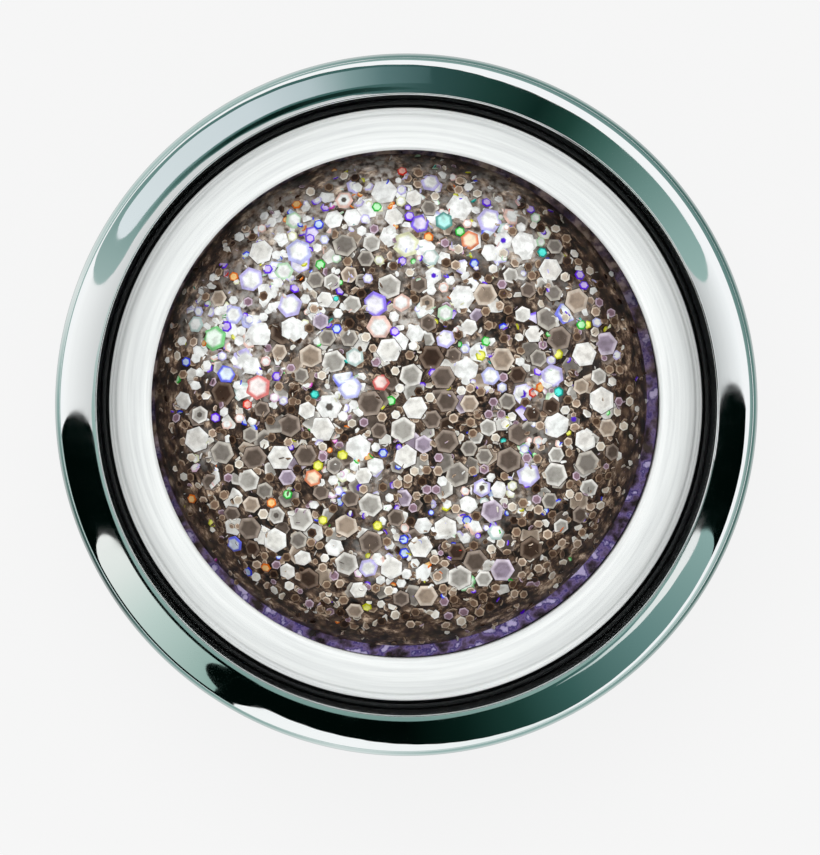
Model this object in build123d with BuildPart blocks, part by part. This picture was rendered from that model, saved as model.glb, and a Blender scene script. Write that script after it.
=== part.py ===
from build123d import *
import os

# A small screw-lid pot of glitter nail gel, closed, standing on its base.
# Millimetres.  The origin is the centre of the underside, +Z is up, and every
# round piece turns about the Z axis.

# driving sizes
POT_R = 17.0          # outside radius of the pot and of its lid
JAR_H = 12.0          # height of the outer jar
LID_Z = 12.3          # lower rim of the lid when it is screwed down
TOP_Z = 21.0          # top of the lid
JAR_WALL = 1.2
JAR_FLOOR = 1.5
FOOT_ROUND = 2.0      # rounding between the underside and the side

CUP_R = 12.55         # opening of the inner cup
NECK_R = 13.45        # outside of the cup wall and of its neck
NECK_TOP = 17.6
CUP_FLOOR = 5.5       # inside floor of the cup
CUP_ROUND = 3.0       # rounding of the inside corner
FLANGE_R = 15.7
FLANGE_T = 1.0

PITCH = 3.0           # rise of the lid in one turn
NECK_CREST = 14.15    # crest radius of the neck thread
RIDGE_ROOT = 1.4      # width of both thread ridges at the root
RIDGE_CREST = 0.6     # and at the crest
NECK_START = 13.3     # height where the neck ridge begins
NECK_TURNS = 1.1
LID_DROP = 1.2        # the lid ridge runs this far below the neck ridge
LID_START = 13.5
LID_TURNS = 1.05

BEZEL_R = 15.0        # opening of the chrome bezel in the lid
SHELL_IN = 16.0
WINDOW_R = 15.9
WINDOW_Z = 18.85      # underside of the clear window
WINDOW_T = 1.2
INSERT_R = 15.95      # outside of the threaded insert
INSERT_IN = 14.55     # its bore
LID_CREST = 13.65     # crest radius of the lid thread
LIP_R = 14.0          # lip that keeps the sealing ring in the lid

SEAL_IN = 12.35
SEAL_R = 14.4
SEAL_Z = 17.7
SEAL_T = 1.0

GEL_R = 12.5
GEL_EDGE = 14.4       # height of the gel where it meets the wall
GEL_TOP = 17.4
LABEL_R = 12.5
LABEL_T = 0.15

# the outer jar: a cup with a ledge for the flange of the inner cup
inner_r = POT_R - JAR_WALL
ledge_z = JAR_H - FLANGE_T
with BuildPart() as outer_jar:
    with BuildSketch(Plane.XZ):
        with BuildLine():
            Polyline((0, LABEL_T), (LABEL_R, LABEL_T), (LABEL_R, 0),
                     (POT_R - FOOT_ROUND, 0))
            RadiusArc((POT_R - FOOT_ROUND, 0), (POT_R, FOOT_ROUND), -FOOT_ROUND)
            Polyline((POT_R, FOOT_ROUND), (POT_R, JAR_H - 0.25), (POT_R - 0.25, JAR_H),
                     (inner_r, JAR_H), (inner_r, ledge_z), (inner_r - 0.8, ledge_z),
                     (inner_r - 0.8, ledge_z - 0.5), (inner_r, ledge_z - 1.3),
                     (inner_r, JAR_FLOOR + 1.2))
            RadiusArc((inner_r, JAR_FLOOR + 1.2), (inner_r - 1.2, JAR_FLOOR), 1.2)
            Polyline((inner_r - 1.2, JAR_FLOOR), (0, JAR_FLOOR), (0, LABEL_T))
        make_face()
    revolve(axis=Axis.Z)
outer_jar.part.label = "outer_jar"

# a plain paper disc let into the underside
with BuildPart() as base_label:
    Cylinder(LABEL_R - 0.2, LABEL_T, align=(Align.CENTER, Align.CENTER, Align.MIN))
base_label.part.label = "base_label"

# the inner cup hangs by its flange; its neck carries the thread
cup_wall = NECK_R - CUP_R
with BuildPart() as inner_cup:
    with BuildSketch(Plane.XZ):
        with BuildLine():
            Line((0, CUP_FLOOR - cup_wall), (NECK_R - 4.0, CUP_FLOOR - cup_wall))
            RadiusArc((NECK_R - 4.0, CUP_FLOOR - cup_wall),
                      (NECK_R, CUP_FLOOR - cup_wall + 4.0), -4.0)
            Polyline((NECK_R, CUP_FLOOR - cup_wall + 4.0), (NECK_R, ledge_z),
                     (FLANGE_R, ledge_z), (FLANGE_R, JAR_H), (NECK_R, JAR_H),
                     (NECK_R, NECK_TOP - 0.2), (NECK_R - 0.2, NECK_TOP),
                     (CUP_R + 0.2, NECK_TOP), (CUP_R, NECK_TOP - 0.2),
                     (CUP_R, CUP_FLOOR + CUP_ROUND))
            RadiusArc((CUP_R, CUP_FLOOR + CUP_ROUND),
                      (CUP_R - CUP_ROUND, CUP_FLOOR), CUP_ROUND)
            Polyline((CUP_R - CUP_ROUND, CUP_FLOOR), (0, CUP_FLOOR),
                     (0, CUP_FLOOR - cup_wall))
        make_face()
    revolve(axis=Axis.Z)
    with BuildLine() as neck_path:
        Helix(PITCH, PITCH * NECK_TURNS, NECK_R, center=(0, 0, NECK_START))
    with BuildSketch(Plane.XZ):
        with Locations((0, NECK_START)):
            Polygon((NECK_R - 0.3, -RIDGE_ROOT / 2), (NECK_R, -RIDGE_ROOT / 2),
                    (NECK_CREST, -RIDGE_CREST / 2), (NECK_CREST, RIDGE_CREST / 2),
                    (NECK_R, RIDGE_ROOT / 2), (NECK_R - 0.3, RIDGE_ROOT / 2), align=None)
    sweep(path=neck_path.line, is_frenet=True)
inner_cup.part.label = "inner_cup"

# the gel: follows the cup below, domed above
with BuildPart() as gel:
    with BuildSketch(Plane.XZ):
        with BuildLine():
            Line((0, CUP_FLOOR), (GEL_R - CUP_ROUND, CUP_FLOOR))
            RadiusArc((GEL_R - CUP_ROUND, CUP_FLOOR), (GEL_R, CUP_FLOOR + CUP_ROUND),
                      -CUP_ROUND)
            Line((GEL_R, CUP_FLOOR + CUP_ROUND), (GEL_R, GEL_EDGE))
            Spline((GEL_R, GEL_EDGE), (GEL_R - 0.35, GEL_EDGE + 0.85),
                   (GEL_R - 1.4, GEL_EDGE + 1.95), (GEL_R - 4.0, GEL_TOP - 0.4),
                   (0, GEL_TOP), tangents=[(0, 1), (-1, 0)])
            Line((0, GEL_TOP), (0, CUP_FLOOR))
        make_face()
    revolve(axis=Axis.Z)
gel.part.label = "gel"

# the loose sealing ring between the neck and the window
seal_top = SEAL_Z + SEAL_T
with BuildPart() as sealing_ring:
    with BuildSketch(Plane.XZ):
        with BuildLine():
            Polyline((SEAL_IN + 0.1, SEAL_Z), (SEAL_R - 0.1, SEAL_Z), (SEAL_R, SEAL_Z + 0.1),
                     (SEAL_R, seal_top - 0.08), (SEAL_R - 0.06, seal_top),
                     (SEAL_R - 0.12, seal_top), (SEAL_R - 0.18, seal_top - 0.15),
                     (SEAL_R - 0.30, seal_top - 0.15), (SEAL_R - 0.40, seal_top - 0.02),
                     (SEAL_IN + 0.15, seal_top), (SEAL_IN, seal_top - 0.15),
                     (SEAL_IN, SEAL_Z + 0.1), close=True)
        make_face()
    revolve(axis=Axis.Z)
sealing_ring.part.label = "sealing_ring"

# the threaded insert of the lid
with BuildPart() as lid_insert:
    with BuildSketch(Plane.XZ):
        with BuildLine():
            Polyline((INSERT_IN + 0.3, LID_Z + 0.2), (INSERT_R, LID_Z + 0.2),
                     (INSERT_R, WINDOW_Z), (INSERT_IN, WINDOW_Z),
                     (INSERT_IN, SEAL_Z - 0.2), (LIP_R + 0.1, SEAL_Z - 0.2),
                     (LIP_R, SEAL_Z - 0.3), (LIP_R, SEAL_Z - 0.4),
                     (INSERT_IN, SEAL_Z - 0.45 - (INSERT_IN - LIP_R) * 0.3),
                     (INSERT_IN, LID_Z + 0.5), close=True)
        make_face()
    revolve(axis=Axis.Z)
    with BuildLine() as lid_path:
        Helix(PITCH, PITCH * LID_TURNS, INSERT_IN, center=(0, 0, LID_START))
    with BuildSketch(Plane.XZ):
        with Locations((0, LID_START)):
            Polygon((INSERT_IN + 0.6, -RIDGE_ROOT / 2), (INSERT_IN, -RIDGE_ROOT / 2),
                    (LID_CREST, -RIDGE_CREST / 2), (LID_CREST, RIDGE_CREST / 2),
                    (INSERT_IN, RIDGE_ROOT / 2), (INSERT_IN + 0.6, RIDGE_ROOT / 2),
                    align=None)
    sweep(path=lid_path.line, is_frenet=True)
# turned so that its ridge lies LID_DROP below the ridge on the neck
phase = 360 * (LID_START - (NECK_START - LID_DROP)) / PITCH
lid_insert_solid = lid_insert.part.rotate(Axis.Z, phase)
lid_insert_solid.label = "lid_insert"

# the clear window, held between the insert and the bezel
with BuildPart() as lid_window:
    with Locations((0, 0, WINDOW_Z)):
        Cylinder(WINDOW_R, WINDOW_T, align=(Align.CENTER, Align.CENTER, Align.MIN))
    chamfer(lid_window.edges().filter_by(GeomType.CIRCLE), 0.1)
lid_window.part.label = "lid_window"

# the chrome shell of the lid: a sleeve with an inward bezel and a softly domed crown
bezel_z = WINDOW_Z + WINDOW_T
with BuildPart() as lid_shell:
    with BuildSketch(Plane.XZ):
        with BuildLine():
            Polyline((SHELL_IN, LID_Z), (POT_R - 0.25, LID_Z))
            RadiusArc((POT_R - 0.25, LID_Z), (POT_R, LID_Z + 0.25), -0.25)
            Line((POT_R, LID_Z + 0.25), (POT_R, TOP_Z - 0.80))
            Spline((POT_R, TOP_Z - 0.80), (POT_R - 0.20, TOP_Z - 0.31),
                   (POT_R - 0.66, TOP_Z - 0.105), tangents=[(0, 1), (-1, 0.16)])
            Spline((POT_R - 0.66, TOP_Z - 0.105), (15.75, TOP_Z - 0.037), (BEZEL_R + 0.2, TOP_Z),
                   tangents=[(-1, 0.16), (-1, 0.05)])
            Spline((BEZEL_R + 0.2, TOP_Z), (BEZEL_R + 0.05, TOP_Z - 0.07), (BEZEL_R, TOP_Z - 0.22),
                   tangents=[(-1, 0.0), (0, -1)])
            Polyline((BEZEL_R, TOP_Z - 0.22), (BEZEL_R, bezel_z), (SHELL_IN, bezel_z),
                     (SHELL_IN, LID_Z))
        make_face()
    revolve(axis=Axis.Z)
lid_shell.part.label = "lid_shell"

os.makedirs("parts", exist_ok=True)
export_step(outer_jar.part, "parts/outer_jar.step")
export_step(base_label.part, "parts/base_label.step")
export_step(inner_cup.part, "parts/inner_cup.step")
export_step(gel.part, "parts/gel.step")
export_step(sealing_ring.part, "parts/sealing_ring.step")
export_step(lid_insert_solid, "parts/lid_insert.step")
export_step(lid_window.part, "parts/lid_window.step")
export_step(lid_shell.part, "parts/lid_shell.step")
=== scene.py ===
# %% [markdown]
# # A pot of glitter nail gel
# A small round screw-lid pot, closed, standing on a pale table and seen from above. Through
# the clear window in its chrome lid you see a black threaded insert, a white sealing ring
# and a domed filling packed with hexagon glitter.
#
# The sizes come from a finished CAD model, which is loaded first as a fixed frame. The
# work here is the surface: fine round chrome, turned plastic, a clear window, and some
# thousands of small hexagon flakes.

# %% Load the frame and take its sizes
import math

import bmesh
import bpy
import numpy as np
from mathutils import Matrix, Vector


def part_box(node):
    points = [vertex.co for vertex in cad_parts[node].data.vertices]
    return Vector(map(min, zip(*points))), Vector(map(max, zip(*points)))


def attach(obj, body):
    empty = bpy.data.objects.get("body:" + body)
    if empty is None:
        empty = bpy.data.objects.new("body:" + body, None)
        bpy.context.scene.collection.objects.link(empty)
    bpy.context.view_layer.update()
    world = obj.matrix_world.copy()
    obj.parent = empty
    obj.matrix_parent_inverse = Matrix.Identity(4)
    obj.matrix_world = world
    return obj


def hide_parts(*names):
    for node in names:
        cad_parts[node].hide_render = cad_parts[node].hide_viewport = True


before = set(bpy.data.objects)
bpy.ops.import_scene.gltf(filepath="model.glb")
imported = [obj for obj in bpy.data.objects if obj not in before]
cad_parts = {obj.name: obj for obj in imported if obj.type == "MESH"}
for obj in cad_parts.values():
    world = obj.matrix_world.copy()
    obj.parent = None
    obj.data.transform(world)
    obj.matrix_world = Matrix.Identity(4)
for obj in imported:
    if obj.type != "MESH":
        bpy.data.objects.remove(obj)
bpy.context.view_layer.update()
MM = 0.001


def reach(node):
    """Outside radius, lowest and highest level of a CAD node, in millimetres."""
    low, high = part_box(node)
    return high.x / MM, low.z / MM, high.z / MM


for node in sorted(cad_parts):
    print("%-13s radius %.2f, from %.2f to %.2f mm" % ((node,) + reach(node)))

# %% [markdown]
# ## Turned shapes
# Nearly every piece of the pot is round, so it could be a Blender Screw modifier on a
# profile. A short function is used instead: it takes an outline in millimetres, rounds its
# corners, and spins it in some hundreds of steps. Chrome shows every flat facet as a kink in
# its reflections, so the steps are fine and the corners have real radii.

# %% Rounded outlines and the lathe


def softened(corners, steps=6):
    """A closed outline with each corner (r, z, radius) rounded off by a short curve."""
    points = []
    count = len(corners)
    for i, (r, z, radius) in enumerate(corners):
        here = np.array((r, z), float)
        if radius <= 0:
            points.append(tuple(here))
            continue
        back = np.array(corners[i - 1][:2], float) - here
        ahead = np.array(corners[(i + 1) % count][:2], float) - here
        cut = min(radius, 0.49 * np.linalg.norm(back), 0.49 * np.linalg.norm(ahead))
        a = here + back / np.linalg.norm(back) * cut
        b = here + ahead / np.linalg.norm(ahead) * cut
        for t in np.linspace(0, 1, steps + 1):
            points.append(tuple((1 - t) ** 2 * a + 2 * t * (1 - t) * here + t * t * b))
    return points


def finish_mesh(name, verts, faces, sharp_deg=40):
    """A mesh object with outward faces and smooth shading up to the sharp angle."""
    mesh = bpy.data.meshes.new(name)
    mesh.from_pydata([tuple(v) for v in verts], [], faces)
    work = bmesh.new()
    work.from_mesh(mesh)
    bmesh.ops.recalc_face_normals(work, faces=work.faces)
    work.to_mesh(mesh)
    work.free()
    mesh.shade_smooth()
    mesh.set_sharp_from_angle(angle=math.radians(sharp_deg))
    obj = bpy.data.objects.new(name, mesh)
    bpy.context.scene.collection.objects.link(obj)
    return obj


def lathe(name, outline, steps=512, closed=True, sharp_deg=40):
    """Spins an outline of (r, z) points about Z. Points on the axis become poles."""
    verts, rings, faces = [], [], []
    angles = np.arange(steps) * 2 * math.pi / steps
    for r, z in outline:
        if r < 1e-6:
            rings.append([len(verts)])
            verts.append((0, 0, z * MM))
        else:
            rings.append(list(range(len(verts), len(verts) + steps)))
            verts += [(r * math.cos(a) * MM, r * math.sin(a) * MM, z * MM) for a in angles]
    pairs = list(zip(rings, rings[1:] + rings[:1])) if closed else list(zip(rings, rings[1:]))
    for one, two in pairs:
        if len(one) == 1 and len(two) == 1:
            continue
        for k in range(steps):
            n = (k + 1) % steps
            if len(one) == 1:
                faces.append((one[0], two[k], two[n]))
            elif len(two) == 1:
                faces.append((one[k], two[0], one[n]))
            else:
                faces.append((one[k], two[k], two[n], one[n]))
    return finish_mesh(name, verts, faces, sharp_deg)


RIDGE_FADE = 28  # degrees over which a thread ridge grows to full height


def screw_ridge(name, root, crest, start, turns, pitch=3.0, wide=1.4, narrow=0.6, first=0.0):
    """A thread ridge that grows out of the wall and dies back into it at both ends."""
    sections, verts, faces = int(160 * turns), [], []
    lip = 0.12 if crest > root else -0.12
    for i in range(sections + 1):
        t = i / sections
        grown = min(1.0, min(t, 1 - t) * turns * 360 / RIDGE_FADE)
        grown = grown * grown * (3 - 2 * grown)
        top = root + (crest - root) * max(grown, 0.02)
        a = first + t * turns * 2 * math.pi
        level = start + pitch * turns * t
        section = ((root - lip, -wide / 2), (root, -wide / 2),
                   (top - lip * 0.7, -narrow / 2 - 0.06), (top, -narrow / 2 + 0.08),
                   (top, narrow / 2 - 0.08), (top - lip * 0.7, narrow / 2 + 0.06),
                   (root, wide / 2), (root - lip, wide / 2))
        for r, dz in section:
            verts.append((r * math.cos(a) * MM, r * math.sin(a) * MM, (level + dz) * MM))
    for i in range(sections):
        for k in range(8):
            n = (k + 1) % 8
            faces.append((i * 8 + k, i * 8 + n, i * 8 + 8 + n, i * 8 + 8 + k))
    faces += [tuple(range(8)), tuple(range(sections * 8, sections * 8 + 8))]
    return finish_mesh(name, verts, faces, 50)


# %% [markdown]
# ## Finishes
# Each finish is a small node tree. One helper starts a material and hands back its shader,
# and two more make what most of them share: fine noise, and turned streaks that run round
# the pot. Streaks could be an image, but noise read at (radius, direction) gives them with
# no seam.

# %% Material helpers


def linear(rgb):
    """Screen colour 0 to 255 as linear light."""
    c = np.array(rgb, float) / 255
    return tuple(np.where(c <= 0.04045, c / 12.92, ((c + 0.055) / 1.055) ** 2.4))


def finish_named(name, **values):
    """A new material, its node tree and its Principled shader with the given values."""
    mat = bpy.data.materials.new(name)
    mat.use_nodes = True
    shader = mat.node_tree.nodes["Principled BSDF"]
    for socket, value in values.items():
        shader.inputs[socket.replace("_", " ")].default_value = value
    return mat, mat.node_tree, shader


def noise(tree, scale, detail=4.0, vector=None, roughness=0.5):
    """A noise texture in the object's own space, or along a given vector."""
    tex = tree.nodes.new("ShaderNodeTexNoise")
    tex.inputs["Scale"].default_value = scale
    tex.inputs["Detail"].default_value = detail
    tex.inputs["Roughness"].default_value = roughness
    if vector is None:
        vector = tree.nodes.new("ShaderNodeTexCoord").outputs["Object"]
    tree.links.new(vector, tex.inputs["Vector"])
    return tex.outputs["Fac"]


def ramp(tree, value, *stops):
    """A colour ramp with (position, colour) stops, colours in screen values."""
    node = tree.nodes.new("ShaderNodeValToRGB")
    cells = node.color_ramp.elements
    while len(cells) < len(stops):
        cells.new(0.5)
    for cell, (at, rgb) in zip(cells, stops):
        cell.position = at
        cell.color = (*linear(rgb), 1)
    tree.links.new(value, node.inputs["Fac"])
    return node.outputs["Color"]


def span(tree, value, low, high, start=0.0, end=1.0):
    """Maps a value from one range to another."""
    node = tree.nodes.new("ShaderNodeMapRange")
    limits = {"From Min": start, "From Max": end, "To Min": low, "To Max": high}
    for socket, number in limits.items():
        node.inputs[socket].default_value = number
    tree.links.new(value, node.inputs["Value"])
    return node.outputs["Result"]


def stored(tree, title, kind="Color"):
    """A value stored on the mesh."""
    node = tree.nodes.new("ShaderNodeAttribute")
    node.attribute_name = title
    return node.outputs[kind]


def blend(tree, factor, one, two, kind="MIX"):
    """Mixes two colours by a factor, a number or a value from a node."""
    node = tree.nodes.new("ShaderNodeMix")
    node.data_type, node.blend_type = "RGBA", kind
    if isinstance(factor, float):
        node.inputs["Factor"].default_value = factor
    else:
        tree.links.new(factor, node.inputs["Factor"])
    tree.links.new(one, node.inputs[6])
    tree.links.new(two, node.inputs[7])
    return node.outputs[2]


def sums(tree, kind, one, two=None):
    """A maths node on one or two values."""
    node = tree.nodes.new("ShaderNodeMath")
    node.operation = kind
    tree.links.new(one, node.inputs[0])
    if isinstance(two, float):
        node.inputs[1].default_value = two
    elif two is not None:
        tree.links.new(two, node.inputs[1])
    return node.outputs[0]


def bumped(tree, shader, height, depth, strength=1.0):
    """Feeds a height into the shader's normal, depth in metres."""
    node = tree.nodes.new("ShaderNodeBump")
    node.inputs["Distance"].default_value = depth
    node.inputs["Strength"].default_value = strength
    tree.links.new(height, node.inputs["Height"])
    tree.links.new(node.outputs["Normal"], shader.inputs["Normal"])


def round_way(tree, rings, swing):
    """A vector that runs fast outward and slowly round the pot, for turned streaks."""
    place = tree.nodes.new("ShaderNodeTexCoord").outputs["Object"]
    flat = tree.nodes.new("ShaderNodeVectorMath")
    flat.operation = "MULTIPLY"
    flat.inputs[1].default_value = (1, 1, 0)
    tree.links.new(place, flat.inputs[0])
    out = tree.nodes.new("ShaderNodeVectorMath")
    out.operation = "LENGTH"
    tree.links.new(flat.outputs["Vector"], out.inputs[0])
    way = tree.nodes.new("ShaderNodeVectorMath")
    way.operation = "NORMALIZE"
    tree.links.new(flat.outputs["Vector"], way.inputs[0])
    wide = tree.nodes.new("ShaderNodeVectorMath")
    wide.operation = "SCALE"
    wide.inputs["Scale"].default_value = swing
    tree.links.new(way.outputs["Vector"], wide.inputs[0])
    split = tree.nodes.new("ShaderNodeSeparateXYZ")
    tree.links.new(wide.outputs["Vector"], split.inputs[0])
    grown = tree.nodes.new("ShaderNodeMath")
    grown.operation = "MULTIPLY"
    grown.inputs[1].default_value = rings / MM
    tree.links.new(out.outputs["Value"], grown.inputs[0])
    join = tree.nodes.new("ShaderNodeCombineXYZ")
    tree.links.new(split.outputs["X"], join.inputs["X"])
    tree.links.new(split.outputs["Y"], join.inputs["Y"])
    tree.links.new(grown.outputs["Value"], join.inputs["Z"])
    return join.outputs["Vector"], out.outputs["Value"]


# %% Chrome, black and white plastic, liner, paper
chrome, tree, shader = finish_named("plated_chrome", Base_Color=(0.90, 0.925, 0.925, 1),
                                    Metallic=1.0)
tree.links.new(span(tree, noise(tree, 900, 3), 0.012, 0.05, 0.3, 0.75), shader.inputs["Roughness"])
bumped(tree, shader, noise(tree, 160, 2), 0.00001, 0.04)

black_plastic, tree, shader = finish_named("black_plastic", Specular_IOR_Level=0.35)
way, _ = round_way(tree, 9.0, 1.2)
tree.links.new(ramp(tree, noise(tree, 1.0, 4, way), (0.3, (4, 4, 4)), (0.75, (20, 20, 21))),
               shader.inputs["Base Color"])
tree.links.new(span(tree, noise(tree, 1200, 3), 0.28, 0.5), shader.inputs["Roughness"])
bumped(tree, shader, noise(tree, 1500, 3), 0.00002, 0.2)

white_plastic, tree, shader = finish_named("white_plastic", Subsurface_Weight=0.15,
                                           Subsurface_Scale=0.001)
way, _ = round_way(tree, 3.0, 1.0)
tree.links.new(ramp(tree, noise(tree, 1.0, 4, way), (0.3, (226, 227, 228)), (0.7, (244, 244, 243))),
               shader.inputs["Base Color"])
tree.links.new(span(tree, noise(tree, 1400, 3), 0.22, 0.4), shader.inputs["Roughness"])
bumped(tree, shader, noise(tree, 1.0, 4, way), 0.00003, 0.3)

white_liner, tree, shader = finish_named("white_liner", Specular_IOR_Level=0.3)
way, radius = round_way(tree, 5.0, 1.6)
streaks = noise(tree, 1.0, 5, way, 0.6)
white = ramp(tree, streaks, (0.30, (205, 206, 206)), (0.52, (221, 222, 221)),
             (0.75, (233, 233, 232)))
# Towards its outer edge, and most at the left and right, the ring is darkened: painted shade.
split = tree.nodes.new("ShaderNodeSeparateXYZ")
tree.links.new(way, split.inputs[0])
sides = span(tree, sums(tree, "ABSOLUTE", split.outputs["X"]), 0.1, 0.9, 0.5, 1.6)
painted_edge_shade = sums(tree, "MULTIPLY", span(tree, radius, 0.0, 1.0, 13.1 * MM, 14.1 * MM), sides)
grey = ramp(tree, painted_edge_shade, (0.0, (255, 255, 255)), (0.5, (242, 242, 242)), (1.0, (196, 196, 196)))
tree.links.new(blend(tree, 1.0, white, grey, "MULTIPLY"), shader.inputs["Base Color"])
tree.links.new(span(tree, streaks, 0.35, 0.6), shader.inputs["Roughness"])
bumped(tree, shader, streaks, 0.00004, 0.3)

plain_paper, tree, shader = finish_named("plain_paper", Roughness=0.85, Specular_IOR_Level=0.2)
tree.links.new(ramp(tree, noise(tree, 700, 6), (0.3, (214, 213, 208)), (0.7, (233, 232, 228))),
               shader.inputs["Base Color"])
bumped(tree, shader, noise(tree, 2500, 5), 0.00002, 0.5)
print("finishes so far:", len(bpy.data.materials))

# %% [markdown]
# ## The clear window
# A real window bends light a little. A glass shader would also have to focus all the light
# that falls on the gel, which is slow and noisy, so the window is see-through, and its
# outer face adds a reflection that is faint head on and strong at a glance, as glass has.

# %% Window finish
clear_window = bpy.data.materials.new("clear_window")
clear_window.use_nodes = True
tree = clear_window.node_tree
tree.nodes.clear()
through = tree.nodes.new("ShaderNodeBsdfTransparent")
through.inputs["Color"].default_value = (0.995, 1.0, 1.0, 1)
gloss = tree.nodes.new("ShaderNodeBsdfGlossy")
tree.links.new(span(tree, noise(tree, 500, 3), 0.01, 0.05), gloss.inputs["Roughness"])
turned = tree.nodes.new("ShaderNodeLayerWeight")
turned.inputs["Blend"].default_value = 0.5
shine = span(tree, sums(tree, "POWER", turned.outputs["Facing"], 5.0), 0.04, 1.0)
outside = span(tree, tree.nodes.new("ShaderNodeNewGeometry").outputs["Backfacing"], 1.0, 0.0)
both = tree.nodes.new("ShaderNodeMixShader")
tree.links.new(sums(tree, "MULTIPLY", shine, outside), both.inputs["Fac"])
tree.links.new(through.outputs["BSDF"], both.inputs[1])
tree.links.new(gloss.outputs["BSDF"], both.inputs[2])
tree.links.new(both.outputs["Shader"], tree.nodes.new("ShaderNodeOutputMaterial").inputs["Surface"])

# %% [markdown]
# ## The lid
# The shell is plated plastic: a straight sleeve, a rounded shoulder, a softly domed crown
# and a bezel that turns in over the window. Its crown is the brightest thing on the pot, and
# what it shows depends on its slope from point to point, so the crown is one smooth curve.

# %% Lid shell
shell_r, lid_low, lid_top = reach("lid_shell")
window_r, window_low, window_high = reach("lid_window")
bezel_r, sleeve_in = 15.0, 16.0
crown_in, crown_out = (15.05, lid_top - 0.003), (16.34, lid_top - 0.125)


def bend(a, ta, b, tb, steps):
    """A cubic curve from a to b that leaves along ta and arrives along tb."""
    t = np.linspace(0, 1, steps)[:, None]
    a, ta, b, tb = (np.array(v, float) for v in (a, ta, b, tb))
    return ((1 - t) ** 3 * a + 3 * t * (1 - t) ** 2 * (a + ta)
            + 3 * t * t * (1 - t) * (b - tb) + t ** 3 * b)


crown = np.vstack([
    bend(crown_in, (0.40, -0.012), crown_out, (0.40, -0.064), 30),
    bend(crown_out, (0.34, -0.055), (shell_r, lid_top - 0.80), (0.0, -0.34), 30)[1:],
])
lip = bend(crown_in, (-0.03, 0.001), (bezel_r, lid_top - 0.07), (0, -0.04), 10)
shell_outline = (
    [(sleeve_in, lid_low + 0.02), (sleeve_in + 0.04, lid_low), (shell_r - 0.25, lid_low),
     (shell_r - 0.10, lid_low + 0.04), (shell_r - 0.03, lid_low + 0.12), (shell_r, lid_low + 0.25)]
    + [tuple(p) for p in crown[::-1]]
    + [tuple(p) for p in lip[1:]]
    + [(bezel_r, window_high + 0.02), (bezel_r + 0.02, window_high), (sleeve_in, window_high)]
)
lid_chrome = lathe("lid_chrome", shell_outline, 720, sharp_deg=50)
lid_chrome.data.materials.append(chrome)
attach(lid_chrome, "lid"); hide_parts("lid_shell")
print("lid shell:", len(lid_chrome.data.polygons), "faces")

# %% Window
window = lathe("window", [
    (0, window_low), (window_r - 0.1, window_low), (window_r, window_low + 0.1),
    (window_r, window_high - 0.1), (window_r - 0.1, window_high), (0, window_high)],
    360, closed=False)
window.data.materials.append(clear_window)
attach(window, "lid"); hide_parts("lid_window")

# %% [markdown]
# The black insert sits inside the shell and carries the lid's thread. Through the window
# only its top ring shows: a rounded inner edge that catches a little light, and a step down
# outside it that stays black under the bezel.

# %% Threaded insert
insert_r, insert_low, insert_high = reach("lid_insert")
insert_in, lid_crest = 14.55, 13.65
lip_top = 17.5  # a small lip below it keeps the sealing ring in the lid
insert_body = lathe("insert_body", softened([
    (insert_in + 0.25, insert_low, 0), (insert_r, insert_low, 0.05), (insert_r, insert_high, 0),
    (15.35, insert_high, 0), (15.3, insert_high - 0.45, 0.05), (14.82, insert_high - 0.45, 0.05),
    (14.78, insert_high - 0.05, 0.10), (insert_in, insert_high - 0.05, 0.14),
    (insert_in, lip_top, 0.03), (14.05, lip_top, 0.05), (14.0, 17.32, 0.05),
    (insert_in, 17.1, 0.05), (insert_in, insert_low + 0.3, 0)]), 480)
insert_body.data.materials.append(black_plastic)
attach(insert_body, "lid"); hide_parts("lid_insert")
insert_ridge = screw_ridge("insert_ridge", insert_in, lid_crest, start=13.5, turns=1.05,
                           first=math.radians(168))
insert_ridge.data.materials.append(black_plastic)
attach(insert_ridge, "lid")
print("insert: bore %.1f mm, thread crest %.2f mm" % (insert_in, lid_crest))

# %% [markdown]
# ## The sealing ring
# A loose white ring is pressed between the neck and the window. It was cut on a lathe, so
# its top has faint turned streaks, a shallow groove near the outside and a bead beyond it.

# %% Sealing ring
seal_r, seal_low, seal_high = reach("sealing_ring")
seal_in = 12.35
liner_ring = lathe("liner_ring", softened([
    (seal_in, seal_low, 0.05), (seal_r, seal_low, 0.05), (seal_r, seal_high - 0.02, 0.06),
    (seal_r - 0.10, seal_high, 0.03), (seal_r - 0.17, seal_high - 0.14, 0.05),
    (seal_r - 0.27, seal_high - 0.14, 0.05), (seal_r - 0.36, seal_high - 0.06, 0.05),
    (13.35, seal_high - 0.02, 0.2), (13.0, seal_high, 0.2), (seal_in + 0.12, seal_high, 0.05),
    (seal_in, seal_high - 0.12, 0.05)]), 600, sharp_deg=60)
liner_ring.data.materials.append(white_liner)
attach(liner_ring, "seal"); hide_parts("sealing_ring")

# %% [markdown]
# ## The jar and the cup
# The pot has a double wall: a chrome jar outside, and a white cup that hangs in it by a
# flange. The neck of the cup stands out of the jar and carries a right-hand thread.

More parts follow.
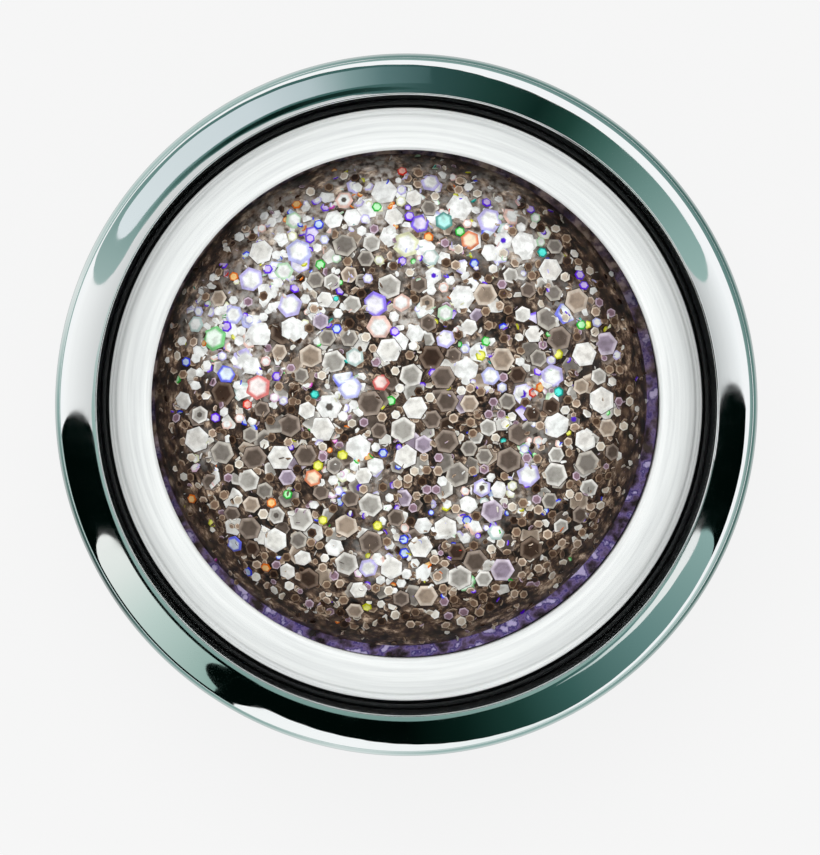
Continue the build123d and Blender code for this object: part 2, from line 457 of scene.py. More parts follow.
# %% Outer jar
jar_r, _, jar_high = reach("outer_jar")
label_r = reach("base_label")[0]
ledge = jar_high - 1.0
ledge_in, jar_in = jar_r - 2.0, jar_r - 1.2
foot_round, recess, floor = 2.0, 0.15, 1.5
jar_chrome = lathe("jar_chrome", [(0, recess)] + softened([
    (label_r + 0.2, recess, 0), (label_r + 0.2, 0, 0.04), (jar_r - foot_round, 0, 0),
    (jar_r, 0, foot_round), (jar_r, jar_high, 0.22), (jar_in, jar_high, 0.08), (jar_in, ledge, 0),
    (ledge_in, ledge, 0.08), (ledge_in, ledge - 0.5, 0.08), (jar_in, ledge - 1.3, 0.1),
    (jar_in, floor, 1.2)], 12) + [(0, floor)], 512, closed=False, sharp_deg=50)
jar_chrome.data.materials.append(chrome)
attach(jar_chrome, "jar"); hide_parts("outer_jar")

# %% Inner cup with its threaded neck
flange_r, cup_low, neck_top = reach("inner_cup")
gel_r, gel_low, gel_top = reach("gel")
cup_r, neck_r = 12.55, 13.45
cup_white = lathe("cup_white", [(0, cup_low)] + softened([
    (neck_r, cup_low, 4.0), (neck_r, ledge, 0.1), (flange_r, ledge, 0.08),
    (flange_r, jar_high, 0.12), (neck_r, jar_high, 0.2), (neck_r, neck_top, 0.2),
    (cup_r, neck_top, 0.2), (cup_r, gel_low, 3.0)], 10)
    + [(0, gel_low)], 512, closed=False)
cup_white.data.materials.append(white_plastic)
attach(cup_white, "jar"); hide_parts("inner_cup")
neck_ridge = screw_ridge("neck_ridge", neck_r, 14.15, start=13.3, turns=1.1)
neck_ridge.data.materials.append(white_plastic)
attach(neck_ridge, "jar")
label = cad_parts["base_label"]
label.data.materials.clear()
label.data.materials.append(plain_paper)
print("cup: opening %.2f mm, neck top at %.1f mm" % (cup_r, neck_top))

# %% [markdown]
# ## The gel
# The filling is a thick clear gel so full of flakes that it heaps into a dome with a steep
# edge. It could be one surface with a clever pattern, but real glitter overlaps, tilts and
# casts small shadows. So there is a dark bed, and on it flakes that are solid hexagon
# chips in the cuts that glitter is sold in.

# %% Dome of the gel
dome_r, dome_edge = 12.12, 14.45
dome_shift = np.array((-0.12, 0.12))
dome_h = gel_top - 0.10 - dome_edge


def dome_level(r):
    """Height of the gel at a radius, in millimetres."""
    x = np.clip(np.asarray(r, float) / dome_r, 0, 0.9995)
    return dome_edge + dome_h * np.sqrt(1 - x ** 4)


def dome_slope(r):
    """Fall of the gel per millimetre outward."""
    return (dome_level(np.asarray(r) + 0.002) - dome_level(np.asarray(r) - 0.002)) / 0.004


# painted highlights: places where the flakes are painted white as if flashing together: x, y,
# reach, how many of them
PAINTED_HIGHLIGHT_SPOTS = [
    (-5.3, 7.9, 2.5, .97), (-8.5, 3.9, 2.2, .97), (0.6, 7.7, 2.0, .97), (-8.1, 3.0, 2.0, .94),
    (-2.8, 0.4, 1.4, .94), (-2.3, -3.5, 1.9, .74), (0.0, 4.0, 1.2, .97), (-0.8, -7.2, 2.0, .69),
    (3.0, -5.6, 1.8, .74), (5.4, 7.2, 1.7, .87), (-1.6, 9.8, 2.5, .94), (4.0, 9.0, 2.4, .74),
    (-6.2, 6.2, 2.4, .94), (3.5, 2.2, 1.2, .97), (6.5, 0.9, 1.3, .81), (5.6, -4.8, 1.2, .59),
    (8.0, 4.6, 1.6, .6), (-9.6, -2.2, 1.2, .54), (-4.2, 3.2, 1.6, .74), (2.4, 5.6, 1.6, .74),
    (-7.2, 1.2, 1.6, .81), (1.2, 10.4, 1.7, .6), (6.4, -1.6, 1.3, .54)]


def brightness(x, y):
    """How many flakes of 1 are painted as flashing at a place on the dome: painted highlights."""
    here = np.zeros(len(x))
    for bx, by, size, share in PAINTED_HIGHLIGHT_SPOTS:
        here = np.maximum(here, share * np.exp(-((x - bx) ** 2 + (y - by) ** 2) / size ** 2))
    return here


dome_radii = dome_r * np.sin(np.linspace(0.5 * math.pi, 0, 90))
bed_outline = [(0, gel_low + 0.05)] + softened([
    (gel_r, gel_low + 0.05, 3.0), (gel_r, dome_edge - 0.25, 0.05),
    (dome_r, dome_edge - 0.32, 0.05)], 8)
bed_outline += [(float(r), float(dome_level(r)) - 0.02) for r in dome_radii[:-1]]
bed_outline += [(0, float(dome_level(0)) - 0.02)]
gel_bed = lathe("gel_bed", bed_outline, 360, closed=False, sharp_deg=80)
co = np.array([v.co for v in gel_bed.data.vertices])
lift = np.clip((co[:, 2] / MM - dome_edge + 0.3) / 0.3, 0, 1)
co[:, :2] += lift[:, None] * dome_shift * MM
gel_bed.data.vertices.foreach_set("co", co.ravel())
# Where the flakes flash together the bed is painted light too: a painted highlight.
painted_shine = brightness(co[:, 0] / MM, co[:, 1] / MM) * (co[:, 2] / MM > dome_edge)
painted_shine_at = gel_bed.data.attributes.new("painted_shine", "FLOAT", "POINT")
painted_shine_at.data.foreach_set("value", painted_shine.astype(np.float32))
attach(gel_bed, "jar"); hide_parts("gel")
print("gel: edge %.2f mm, top %.2f mm" % (dome_edge, dome_level(0)))

# %% Bed finish
bed_finish, tree, shader = finish_named("gel_bed", Specular_IOR_Level=0.3, Coat_Weight=0.15,
                                        Coat_Roughness=0.15)
# The bed's dark browns, darkest at the cell edges, are partly the gel's own tone and partly painted
# shade in the gaps between the flakes.
cells = tree.nodes.new("ShaderNodeTexVoronoi")
cells.inputs["Scale"].default_value = 1900
tree.links.new(tree.nodes.new("ShaderNodeTexCoord").outputs["Object"], cells.inputs["Vector"])
crumbs = ramp(tree, cells.outputs["Distance"], (0.1, (108, 84, 67)), (0.5, (42, 28, 20)),
              (0.9, (10, 5, 3)))
way, _ = round_way(tree, 3.2, 16.0)
depths = ramp(tree, noise(tree, 1.0, 7, way, 0.65), (0.42, (12, 6, 4)), (0.52, (62, 44, 34)),
              (0.59, (126, 103, 85)), (0.67, (206, 184, 160)))
crumbs = blend(tree, span(tree, noise(tree, 600, 4), 0.35, 1.0, 0.35, 0.6), crumbs, depths)
# Where the flakes flash together the bed is mixed towards near-white glints: painted highlights.
painted_glints = ramp(tree, noise(tree, 3200, 5), (0.38, (70, 56, 48)), (0.5, (196, 184, 172)),
              (0.6, (246, 242, 236)))
painted_glare = span(tree, stored(tree, "painted_shine", "Fac"), 0.0, 0.5, 0.2, 0.9)
tree.links.new(blend(tree, painted_glare, crumbs, painted_glints), shader.inputs["Base Color"])
tree.links.new(span(tree, noise(tree, 800, 3), 0.25, 0.5), shader.inputs["Roughness"])
bumped(tree, shader, noise(tree, 900, 5), 0.0001, 0.8)
gel_bed.data.materials.append(bed_finish)

# %% [markdown]
# Between the dome and the cup wall the gel lies low and holds only the finest violet and
# blue film, so a thin ring of colour shows there, strongest on the near and right side.

# %% Violet edge
edge_in = 11.7
edge_ring = lathe("gel_edge", softened([
    (gel_r - 0.05, dome_edge + 0.35, 0.05), (gel_r - 0.05, dome_edge - 0.2, 0),
    (edge_in, dome_edge - 0.2, 0), (edge_in, dome_edge + 0.6, 0.1),
    (12.1, dome_edge + 0.42, 0.2)], 5), 360)
edge_finish, tree, shader = finish_named("violet_edge", Metallic=0.2, Specular_IOR_Level=0.4)
violet = ramp(tree, noise(tree, 1500, 4), (0.36, (26, 18, 18)), (0.45, (80, 64, 92)),
              (0.52, (118, 100, 152)), (0.57, (50, 38, 110)), (0.64, (190, 178, 216)))
brown = ramp(tree, noise(tree, 1700, 4), (0.36, (30, 20, 16)), (0.50, (84, 66, 58)),
             (0.62, (150, 130, 116)))
place = tree.nodes.new("ShaderNodeSeparateXYZ")
tree.links.new(tree.nodes.new("ShaderNodeTexCoord").outputs["Object"], place.inputs[0])
near = sums(tree, "SUBTRACT", sums(tree, "MULTIPLY", place.outputs["X"], 0.35), place.outputs["Y"])
near = sums(tree, "ADD", near, sums(tree, "MULTIPLY", noise(tree, 350, 3), 0.012))
tree.links.new(blend(tree, span(tree, near, 0.15, 0.95, 0.0, 0.014), brown, violet),
               shader.inputs["Base Color"])
tree.links.new(span(tree, noise(tree, 900, 2), 0.2, 0.4), shader.inputs["Roughness"])
bumped(tree, shader, noise(tree, 1400, 4), 0.0001, 0.7)
edge_ring.data.materials.append(edge_finish)
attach(edge_ring, "jar")

# %% [markdown]
# Flakes are cut from thin film in hexagons: 1.06, 0.75, 0.42 and 0.27 mm wide. Each one
# here is a chip with a flat face, a narrow sloping rim and an underside. It stores how far
# each point is from its middle, and three colours: for the middle, the face and the rim.
# Light and shade are painted into these colours: flakes on lower levels and near the steep
# edge carry painted shade, and a flake that flashes is painted white with a pure colour at
# its edge, a painted highlight. Some show a dark eye, and the underside round each flake is
# painted dark, a painted shadow on the flakes below.
#
# Flakes scattered freely would cut through each other and lose their outline. So they are
# laid in levels, one just under the next, and within a level they lie side by side. A flake
# that finds no room is left out. Only the finest are scattered freely.

# %% Flake colours
rng = np.random.default_rng(20)
TONES = [  # share, face, rim
    (0.11, (46, 29, 20), (98, 73, 55)),
    (0.16, (84, 61, 46), (150, 124, 102)),
    (0.20, (130, 102, 82), (198, 174, 150)),
    (0.17, (166, 140, 119), (236, 216, 196)),
    (0.11, (150, 118, 134), (218, 196, 212)),
    (0.13, (212, 196, 178), (252, 245, 233)),
    (0.12, (242, 236, 226), (255, 252, 248)),
]
LARGE_TONES = [
    (0.09, (64, 46, 36), (126, 106, 92)),
    (0.15, (98, 84, 75), (164, 148, 136)),
    (0.22, (128, 120, 113), (200, 192, 182)),
    (0.14, (164, 145, 128), (228, 212, 196)),
    (0.04, (158, 142, 160), (226, 212, 228)),
    (0.16, (172, 167, 160), (242, 238, 232)),
    (0.20, (236, 232, 226), (255, 253, 250)),
]
# Colour flashes of the holographic flakes, painted into their colours: painted highlights.
FLASHES = [  # share, face, rim
    (0.34, (222, 200, 255), (104, 26, 244)),
    (0.16, (208, 228, 255), (34, 56, 244)),
    (0.11, (196, 255, 196), (24, 196, 50)),
    (0.13, (255, 255, 130), (204, 206, 6)),
    (0.13, (255, 208, 138), (236, 112, 6)),
    (0.05, (255, 190, 176), (230, 44, 26)),
    (0.05, (90, 236, 222), (0, 150, 140)),
    (0.03, (255, 196, 236), (214, 60, 190)),
]
EYES = [(0.70, (92, 84, 78), (92, 84, 78)), (0.30, (86, 34, 214), (86, 34, 214))]


def pick(table, how_many):
    """Random rows of a (share, colour, colour) table, as two arrays of linear colours."""
    share = np.array([row[0] for row in table])
    rows = rng.choice(len(table), how_many, p=share / share.sum())
    return [np.array([linear(row[k]) for row in table])[rows] for k in (1, 2)]


# %% Lay flakes in levels
LEVELS, LEVEL_GAP = 6, 0.085
CHIP_POINTS = 19  # the middle and three rings of six
laid = [np.zeros((0, 3)) for _ in range(LEVELS)]
reach_out = dome_r - 0.15


def settle(count, width):
    """Finds free places for flakes of one width, wide ones off the steep edge: x, y and level."""
    found = []
    for _ in range(count):
        r, way = (reach_out - 1.6 * width) * math.sqrt(rng.random()), rng.random() * 2 * math.pi
        x, y = r * math.cos(way), r * math.sin(way)
        for level in rng.permutation(LEVELS):
            near = laid[level]
            apart = (near[:, 0] - x) ** 2 + (near[:, 1] - y) ** 2
            if np.all(apart > (0.52 * (near[:, 2] + width)) ** 2):
                laid[level] = np.vstack([near, (x, y, width)])
                found.append((x, y, level))
                break
    return np.array(found).T


def flakes(name, count, width, tilt_deg, loose=False, thick=0.035, flash=0.05, eyes=0.0):
    """Lays up to count hexagon chips, width mm across flats, on and just under the dome."""
    if loose:
        r, way = reach_out * np.sqrt(rng.random(count)), rng.random(count) * 2 * math.pi
        x, y, level = r * np.cos(way), r * np.sin(way), rng.random(count) * LEVELS + 0.3
    else:
        x, y, level = settle(count, width)
        count = len(x)
    out, way = np.hypot(x, y), np.arctan2(y, x)
    fall = -dome_slope(out)
    normal = np.stack([fall * np.cos(way), fall * np.sin(way), np.ones(count)], 1)
    normal /= np.linalg.norm(normal, axis=1)[:, None]
    centre = np.stack([x + dome_shift[0], y + dome_shift[1], dome_level(out)], 1)
    centre += normal * (0.06 - level * LEVEL_GAP)[:, None]
    normal += rng.normal(0, math.tan(math.radians(tilt_deg)), (count, 3))
    normal /= np.linalg.norm(normal, axis=1)[:, None]
    spin = rng.random(count) * math.pi
    side = np.cross(normal, np.stack([np.cos(spin), np.sin(spin), np.zeros(count)], 1))
    side /= np.linalg.norm(side, axis=1)[:, None]
    across = np.cross(normal, side)
    radius = width / math.sqrt(3) * rng.normal(1, 0.04, count)
    six = np.arange(6) * math.pi / 3
    ring = side[:, None] * np.cos(six)[None, :, None] + across[:, None] * np.sin(six)[None, :, None]
    verts = [(centre + normal * thick / 2)[:, None]]
    rows = ((0.78, thick / 2), (1.0, thick / 2 - width * 0.05), (1.07, -thick / 2 - width * 0.05))
    for scale, rise in rows:
        spread = ring * (radius * scale)[:, None, None]
        verts.append(centre[:, None] + spread + (normal * rise)[:, None])
    verts = np.concatenate(verts, 1).reshape(-1, 3) * MM
    chip = [(0, 1 + k, 1 + (k + 1) % 6) for k in range(6)] + [tuple(range(18, 12, -1))]
    for low in (1, 7):
        chip += [(low + k, low + 6 + k, low + 6 + (k + 1) % 6, low + (k + 1) % 6) for k in range(6)]
    faces = [tuple(i * CHIP_POINTS + k for k in face) for i in range(count) for face in chip]
    mesh = bpy.data.meshes.new(name)
    mesh.from_pydata(verts.tolist(), [], faces)

    face_rgb, rim_rgb = pick(LARGE_TONES if width > 0.7 else TONES, count)
    flash_face, flash_rim = pick(FLASHES, count)
    # At the painted highlight places, flakes are painted near-white, some with a coloured rim:
    # painted highlights.
    bright = brightness(x, y)
    lit = rng.random(count) < bright
    face_rgb[lit], rim_rgb[lit] = linear((253, 253, 251)), linear((255, 254, 252))
    tinged = lit & (rng.random(count) < 0.45)
    rim_rgb[tinged] = 0.55 * rim_rgb[tinged] + 0.45 * flash_rim[tinged]
    # Other flakes are painted with a colour flash, whiter on the larger ones: painted highlights.
    flashes = rng.random(count) < flash * (0.6 + 1.6 * bright)
    whiter = 0.75 if width > 0.9 else 0.45 if width > 0.5 else 0.0
    face_rgb[flashes] = flash_face[flashes] * (1 - whiter) + whiter
    rim_rgb[flashes] = flash_rim[flashes] * (1 - 0.3 * whiter) + 0.3 * whiter
    eye_rgb = face_rgb.copy()
    eyed = (rng.random(count) < eyes) & ~flashes
    eye_rgb[eyed] = pick(EYES, count)[0][eyed]
    # Painted shade: each level down is darker, and so are flakes towards the steep edge; flakes
    # painted lit or flashing are darkened less near the edge.
    shade = (1 - 0.11 * np.maximum(level, 0)) * (1 - 0.45 * np.clip((out - 9.6) / 2.2, 0, 1))
    least = 1 - 0.6 * np.clip((out - 9.8) / 2, 0, 1)
    shade = np.where(lit | flashes, np.maximum(shade, least), shade)
    for title, rgb in (("face_tone_and_painted_light", face_rgb), ("rim_tone_and_painted_light", rim_rgb), ("eye_tone_and_painted_light", eye_rgb)):
        full = np.ones((count, CHIP_POINTS, 4), np.float32)
        full[:, :, :3] = (rgb * shade[:, None])[:, None]
        mesh.attributes.new(title, "FLOAT_COLOR", "POINT").data.foreach_set("color", full.ravel())
    # From the middle out to the rim runs 0 to 1, and the underside runs on to 1.1, where the finish
    # paints a dark skirt: a painted shadow on the flakes below. Lit and flashing flakes get no
    # skirt.
    from_middle = np.repeat((0.0, 0.78, 1.0, 1.1), (1, 6, 6, 6))
    from_middle = np.tile(from_middle, (count, 1)).astype(np.float32)
    from_middle[lit | flashes, 13:] = 1.0
    stored_middle = mesh.attributes.new("from_middle", "FLOAT", "POINT")
    stored_middle.data.foreach_set("value", from_middle.ravel())
    obj = bpy.data.objects.new(name, mesh)
    bpy.context.scene.collection.objects.link(obj)
    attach(obj, "jar")
    print("%-14s %5d flakes of %.2f mm, %d faces, %d lit"
          % (name, count, width, len(faces), lit.sum()))
    return obj


# %% Flake finish
flake_finish, tree, shader = finish_named("glitter_film", Metallic=0.25, Specular_IOR_Level=0.2,
                                          Coat_Weight=0.10, Coat_Roughness=0.10)
middle = stored(tree, "from_middle", "Fac")
film = blend(tree, span(tree, middle, 0, 1, 0.26, 0.40), stored(tree, "eye_tone_and_painted_light"),
             stored(tree, "face_tone_and_painted_light"))
film = blend(tree, span(tree, middle, 0, 1, 0.62, 0.86), film, stored(tree, "rim_tone_and_painted_light"))
grain = ramp(tree, noise(tree, 2600, 5), (0.34, (128, 120, 112)), (0.58, (255, 255, 255)))
film = blend(tree, 0.40, film, grain, "MULTIPLY")
# The skirt beyond the rim is painted dark brown: a painted shadow round each flake.
outline = ramp(tree, span(tree, middle, 0, 1, 1.0, 1.1), (0.0, (255, 255, 255)),
               (0.35, (70, 50, 38)))
tree.links.new(blend(tree, 1.0, film, outline, "MULTIPLY"), shader.inputs["Base Color"])
tree.links.new(span(tree, noise(tree, 1500, 2), 0.22, 0.42), shader.inputs["Roughness"])

# %% Lay the glitter
layers = [flakes("glitter_large", 470, 1.06, 4, flash=0.025, eyes=0.05),
          flakes("glitter_medium", 850, 0.75, 6, flash=0.05, eyes=0.10),
          flakes("glitter_small", 4600, 0.42, 12, flash=0.11),
          flakes("glitter_fine", 5800, 0.27, 30, loose=True, flash=0.12)]
for layer in layers:
    layer.data.materials.append(flake_finish)

# %% [markdown]
# ## Camera
# The camera looks straight down from half a metre with a long lens, a little off the axis,
# so that the rings sit slightly off each other as they do when a pot is held under a camera.

# %% Camera
CAMERA_FAR = 0.5
PICTURE_WIDTH = 2.329  # in radii of the pot
aim = np.array((0.00014, -0.00107, lid_top * MM))
eye = aim + CAMERA_FAR * np.array((-0.026, 0.024, 1.0))
camera = bpy.data.objects.new("camera", bpy.data.cameras.new("camera"))
bpy.context.scene.collection.objects.link(camera)
bpy.context.scene.camera = camera
camera.data.sensor_fit = "HORIZONTAL"
camera.data.sensor_width = 36
camera.data.lens = camera.data.sensor_width * CAMERA_FAR / (PICTURE_WIDTH * shell_r * MM)
camera.data.clip_start = 0.01
camera.location = eye
back = Vector(eye - aim).normalized()
right = Vector((0, 1, 0)).cross(back).normalized()
camera.rotation_euler = Matrix((right, back.cross(right), back)).transposed().to_euler()
print("lens %.0f mm" % camera.data.lens)

# %% [markdown]
# ## Table and light
# The table is a light box: a white sheet that glows evenly, so the pot throws almost no
# shadow. The air around is an even white tent, with one soft lamp high on the far side.
# Chrome has no colour of its own, it only shows its surroundings, so the dark and sea-green
# patches on the crown are cards hung in the tent. Each is drawn as the patch it makes on
# the crown, as angle round the pot and radius, and a mirror calculation finds where in the
# tent it has to hang. The patches are right for this camera only.

# %% Table and tent
sheet = lathe("table_sheet", [(0, -0.02), (600, -0.02)], 64, closed=False)
table_finish = bpy.data.materials.new("light_table")
table_finish.use_nodes = True
tree = table_finish.node_tree
shader = tree.nodes["Principled BSDF"]
shader.inputs["Base Color"].default_value = (0.05, 0.05, 0.05, 1)
shader.inputs["Roughness"].default_value = 0.9
shader.inputs["Specular IOR Level"].default_value = 0.0
shader.inputs["Emission Color"].default_value = (1, 1, 1, 1)
shader.inputs["Emission Strength"].default_value = 0.853
sheet.data.materials.append(table_finish)
lamp = bpy.data.objects.new("lamp_above", bpy.data.lights.new("lamp_above", "SUN"))
bpy.context.scene.collection.objects.link(lamp)
lamp.data.energy, lamp.data.angle = 1.95, math.radians(25)
lamp.rotation_euler = Vector((-0.08, 0.25, 1.0)).to_track_quat("Z", "Y").to_euler()
lamp.visible_glossy = False

world = bpy.data.worlds.new("tent")
bpy.context.scene.world = world
world.use_nodes = True
tree = world.node_tree
tree.nodes.clear()
seen = tree.nodes.new("ShaderNodeLightPath")
plain, lighting, mirror = (tree.nodes.new("ShaderNodeBackground") for _ in range(3))
plain.inputs["Color"].default_value = (0.921, 0.921, 0.921, 1)
lighting.inputs["Color"].default_value = (0.86, 0.86, 0.86, 1)
mirror.inputs["Color"].default_value = (0.99, 0.99, 1.0, 1)
first, second = tree.nodes.new("ShaderNodeMixShader"), tree.nodes.new("ShaderNodeMixShader")
tree.links.new(seen.outputs["Is Glossy Ray"], first.inputs["Fac"])
tree.links.new(lighting.outputs[0], first.inputs[1])
tree.links.new(mirror.outputs[0], first.inputs[2])
tree.links.new(seen.outputs["Is Camera Ray"], second.inputs["Fac"])
tree.links.new(first.outputs[0], second.inputs[1])
tree.links.new(plain.outputs[0], second.inputs[2])
tree.links.new(second.outputs[0], tree.nodes.new("ShaderNodeOutputWorld").inputs["Surface"])
bpy.context.scene.view_settings.view_transform = "Standard"

# %% Where a patch of the crown looks
CHROME_GIVES = 0.93  # share of the light that the chrome gives back


def crown_looks(azimuth, r, far):
    """Place in the tent that the crown mirrors at an azimuth in degrees and a radius in mm."""
    a = math.radians(azimuth)
    z = np.interp(r, crown[:, 0], crown[:, 1])
    step = 0.01
    inner, outer = (np.interp(at, crown[:, 0], crown[:, 1]) for at in (r - step, r + step))
    fall = (inner - outer) / (2 * step)
    normal = np.array((fall * math.cos(a), fall * math.sin(a), 1.0))
    normal /= np.linalg.norm(normal)
    place = np.array((r * math.cos(a), r * math.sin(a), z)) * MM
    ray = place - eye
    ray /= np.linalg.norm(ray)
    ray -= 2 * ray.dot(normal) * normal
    return place + ray * far, ray[2]


def card_glow():
    """Cards glow with the colour stored on them."""
    mat = bpy.data.materials.new("tent_card")
    mat.use_nodes = True
    mat.node_tree.nodes.clear()
    glow = mat.node_tree.nodes.new("ShaderNodeEmission")
    shade = mat.node_tree.nodes.new("ShaderNodeAttribute")
    shade.attribute_name = "shade"
    mat.node_tree.links.new(shade.outputs["Color"], glow.inputs["Color"])
    out = mat.node_tree.nodes.new("ShaderNodeOutputMaterial")
    mat.node_tree.links.new(glow.outputs["Emission"], out.inputs["Surface"])
    return mat


glow = card_glow()


def hang(name, verts, faces, colours):
    """A card in the tent that only mirror-like surfaces see."""
    mesh = bpy.data.meshes.new(name)
    mesh.from_pydata([tuple(v) for v in verts], [], faces)
    rgba = np.ones((len(verts), 4), np.float32)
    rgba[:, :3] = colours
    mesh.attributes.new("shade", "FLOAT_COLOR", "POINT").data.foreach_set("color", rgba.ravel())
    mesh.materials.append(glow)
    card = bpy.data.objects.new(name, mesh)
    bpy.context.scene.collection.objects.link(card)
    card.visible_camera = card.visible_diffuse = card.visible_transmission = False
    card.visible_shadow = card.visible_volume_scatter = False
    return card


def card(name, far, stations, ends=(0, 0), rows=10, columns=110):
    """A card drawn on the crown: stations are (azimuth, inner r, outer r, colour, outer colour)."""
    table = np.array([s[:3] + linear(s[3]) + linear(s[-1]) for s in stations])
    turn = np.linspace(table[0, 0], table[-1, 0], columns)
    turn = np.unique(np.concatenate([turn, table[0, 0] + ends[0] * np.linspace(0, 1, 14) ** 2,
                                     table[-1, 0] - ends[1] * np.linspace(0, 1, 14) ** 2]))
    verts, colours = [], []
    for a in turn:
        low, high = (np.interp(a, table[:, 0], table[:, k]) for k in (1, 2))
        inner = np.array([np.interp(a, table[:, 0], table[:, k]) for k in (3, 4, 5)])
        outer = np.array([np.interp(a, table[:, 0], table[:, k]) for k in (6, 7, 8)])
        squeeze = 1.0
        for end, gap in ((ends[0], a - turn[0]), (ends[1], turn[-1] - a)):
            if end and gap < end:
                squeeze = min(squeeze, math.sqrt(max(0.0, 1 - (1 - gap / end) ** 2)))
        middle, half = (low + high) / 2, (high - low) / 2 * squeeze
        for k in range(rows + 1):
            t = k / rows
            r = middle - half + 2 * half * t
            place, up = crown_looks(a, r, far)
            while up < 0.04 and r > 15.5:
                r -= 0.02
                place, up = crown_looks(a, r, far)
            verts.append(place)
            colours.append((inner * (1 - t) + outer * t) / CHROME_GIVES)
    count = len(turn)
    row = rows + 1
    faces = [(i * row + k, (i + 1) * row + k, (i + 1) * row + k + 1, i * row + k + 1)
             for i in range(count - 1) for k in range(rows)]
    return hang(name, verts, faces, colours)


# %% Hang the cards
BLACK = (1, 7, 5)
card("card_grey_wash", 1.60, [
    (-2, 15.06, 16.30, (188, 190, 190), (244, 245, 246)),
    (26, 15.06, 16.25, (186, 188, 188), (244, 245, 246)),
    (90, 15.06, 16.30, (200, 202, 202), (246, 246, 246)),
    (155, 15.06, 16.50, (206, 207, 207), (246, 246, 246)),
    (186, 15.06, 16.60, (203, 204, 204), (246, 246, 246))])
card("card_sea_green", 1.50, [
    (22.5, 15.06, 16.12, (150, 178, 173)), (32, 15.06, 16.17, (135, 165, 160)),
    (43, 15.06, 16.19, (105, 138, 132)), (53, 15.06, 16.21, (62, 98, 90)),
    (60, 15.06, 16.23, (28, 60, 52)), (66, 15.06, 16.25, (14, 38, 33)),
    (75, 15.06, 16.31, (28, 58, 52)), (85, 15.06, 16.43, (46, 76, 74)),
    (93, 15.06, 16.48, (66, 98, 96)), (100, 15.19, 16.53, (64, 98, 95)),
    (110, 15.21, 16.58, (62, 98, 94)), (125, 15.29, 16.64, (84, 118, 114)),
    (142, 15.38, 16.68, (114, 145, 141)), (158.7, 15.46, 16.66, (156, 178, 175))], ends=(7, 7))
card("card_pale", 1.40, [
    (86, 15.58, 16.34, (62, 92, 91)), (94, 15.56, 16.38, (88, 118, 118)),
    (100, 15.57, 16.40, (126, 152, 152)), (107, 15.58, 16.43, (180, 195, 198)),
    (118, 15.60, 16.49, (203, 213, 217)), (130, 15.62, 16.53, (208, 217, 220)),
    (150, 15.70, 16.47, (218, 226, 229))], ends=(0, 5))
card("card_dark_edge", 1.42, [
    (88, 15.24, 15.34, (50, 82, 79)), (98, 15.26, 15.46, (24, 50, 45)),
    (112, 15.29, 15.50, (6, 24, 19)), (124, 15.33, 15.50, (14, 40, 34)),
    (136, 15.40, 15.55, (70, 104, 98)), (147, 15.46, 15.58, (120, 150, 146))], ends=(4, 4))
card("card_black_left", 1.50, [
    (181, 15.19, 16.80, BLACK), (242, 15.26, 16.80, BLACK)], ends=(6, 0))
card("card_mint", 1.40, [
    (203, 15.36, 16.68, (236, 237, 234)), (210, 15.36, 16.68, (224, 229, 225)),
    (220, 15.36, 16.68, (188, 206, 200)), (236, 15.36, 16.68, (138, 168, 160))], ends=(5, 0))
card("card_black_right", 1.50, [
    (330, 15.10, 16.46, BLACK), (350, 15.10, 16.42, BLACK),
    (363.8, 15.10, 16.38, BLACK)], ends=(0, 5))
card("card_long", 1.30, [
    (232.3, 15.28, 16.42, BLACK), (242, 15.28, 16.62, BLACK), (270, 15.28, 16.62, BLACK),
    (280, 15.26, 16.62, (8, 28, 23)), (290, 15.24, 16.62, (26, 56, 50)),
    (300, 15.22, 16.62, (54, 90, 85)), (315, 15.18, 16.54, (96, 130, 127)),
    (337.5, 15.12, 16.44, (138, 168, 164))], ends=(6, 5))
card("card_crescent", 1.20, [
    (240, 16.66, 16.78, (244, 245, 245)), (245, 16.19, 16.80, (244, 245, 245)),
    (260, 16.31, 16.80, (245, 246, 246)), (275, 16.45, 16.78, (242, 244, 244)),
    (298, 16.64, 16.70, (228, 235, 233))])
card("card_low_white", 1.20, [
    (298, 15.36, 15.375, (170, 190, 187)), (318, 15.25, 15.46, (222, 228, 226)),
    (334, 15.15, 15.56, (232, 234, 233)), (336.8, 15.18, 15.50, (232, 234, 233))], ends=(0, 1))
card("card_inner_line", 1.55, [
    (142, 15.05, 15.08, (196, 206, 204)), (165, 15.05, 15.15, (186, 200, 197)),
    (182, 15.05, 15.24, (150, 176, 171)), (225, 15.05, 15.34, (128, 158, 152)),
    (270, 15.05, 15.34, (118, 150, 144)), (315, 15.05, 15.26, (140, 168, 162)),
    (350, 15.05, 15.12, (84, 110, 105))])
card("card_outer_line", 1.00, [
    (-8, 16.60, 16.80, (150, 176, 172), (70, 102, 98)),
    (20, 16.58, 16.80, (110, 142, 138), (84, 116, 112)),
    (60, 16.60, 16.80, (120, 150, 147), (84, 114, 110)),
    (100, 16.70, 16.80, (150, 176, 172), (110, 138, 134)),
    (150, 16.72, 16.80, (170, 192, 188), (128, 156, 152)),
    (180, 16.74, 16.80, (176, 196, 192), (128, 156, 152)),
    (240, 16.77, 16.80, (176, 198, 194), (130, 158, 153)),
    (300, 16.70, 16.80, (214, 226, 223), (140, 168, 163)),
    (330, 16.60, 16.80, (196, 212, 209), (112, 142, 138)),
    (352, 16.60, 16.80, (150, 176, 172), (70, 102, 98))])

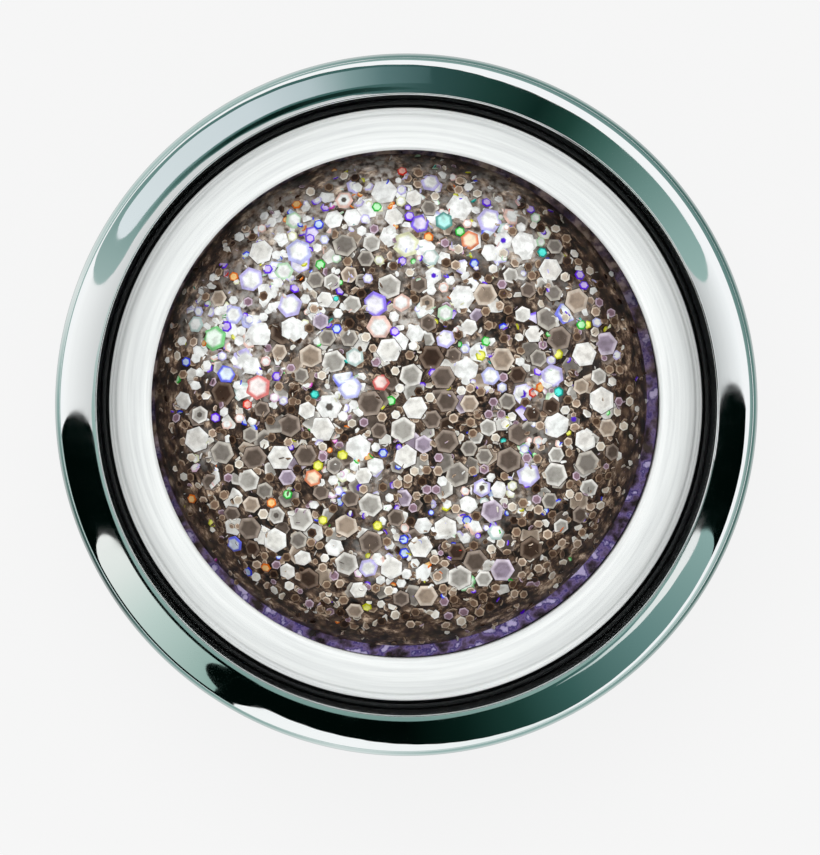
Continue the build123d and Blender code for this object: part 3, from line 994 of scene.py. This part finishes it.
# %% [markdown]
# The straight sides of the pot see only the table and the far edge of the tent. A ring of
# soft tones lies on the table, with a shadow close to the pot, and a low band stands round
# the edge in the same tones. They give the sides upright light and dark bars, as turned
# chrome has.

# %% Surroundings of the sides
turns = np.arange(0, 360, 5)
around = np.radians(turns)
lens_dark = [(0.056 * math.cos(a) + 0.027, 0.056 * math.sin(a) - 0.025, 1.0) for a in around]
hang("card_behind_lens", lens_dark, [tuple(range(len(lens_dark)))],
     np.array([linear((8, 10, 10))] * len(lens_dark)))
SIDE_TONES = [
    (0, (96, 130, 125)), (30, (66, 100, 95)), (60, (88, 122, 117)), (92, (112, 142, 138)),
    (116, (166, 190, 186)), (146, (178, 199, 195)), (162, (228, 234, 232)),
    (178, (150, 178, 174)), (200, (60, 92, 86)), (214, (24, 48, 44)), (226, (112, 144, 139)),
    (248, (150, 177, 172)), (262, (214, 224, 222)), (276, (158, 184, 180)),
    (304, (130, 160, 155)), (330, (62, 96, 90)), (360, (96, 130, 125))]
side_table = np.array([(a,) + tuple(linear(rgb)) for a, rgb in SIDE_TONES])
tone = np.stack([np.interp(turns, side_table[:, 0], side_table[:, k]) for k in (1, 2, 3)], 1)


def ring_card(name, rings):
    """A card of rings (radius, height, share of the tones in white, brightness), in metres."""
    verts = [(r * math.cos(a), r * math.sin(a), z) for r, z, share, light in rings for a in around]
    pale = np.array(linear((240, 244, 243)))
    colours = np.vstack([light * (share * tone + (1 - share) * pale)
                         for _, _, share, light in rings])
    n = len(around)
    faces = [(i * n + k, i * n + (k + 1) % n, (i + 1) * n + (k + 1) % n, (i + 1) * n + k)
             for i in range(len(rings) - 1) for k in range(n)]
    return hang(name, verts, faces, colours)


flat = 0.0002
ring_card("card_on_table", [
    (0.0168, flat, 0.3, 0.16), (0.0180, flat, 0.3, 0.34), (0.021, flat, 0.3, 0.55),
    (0.027, flat, 0.35, 0.82), (0.045, flat, 0.6, 1.0), (0.07, flat, 0.95, 1.0),
    (0.12, flat, 1.0, 1.0), (0.598, flat, 1.0, 1.0)])
ring_card("card_low_band", [(0.60, flat, 1.0, 1.0), (0.60, 0.030, 1.0, 1.0)])
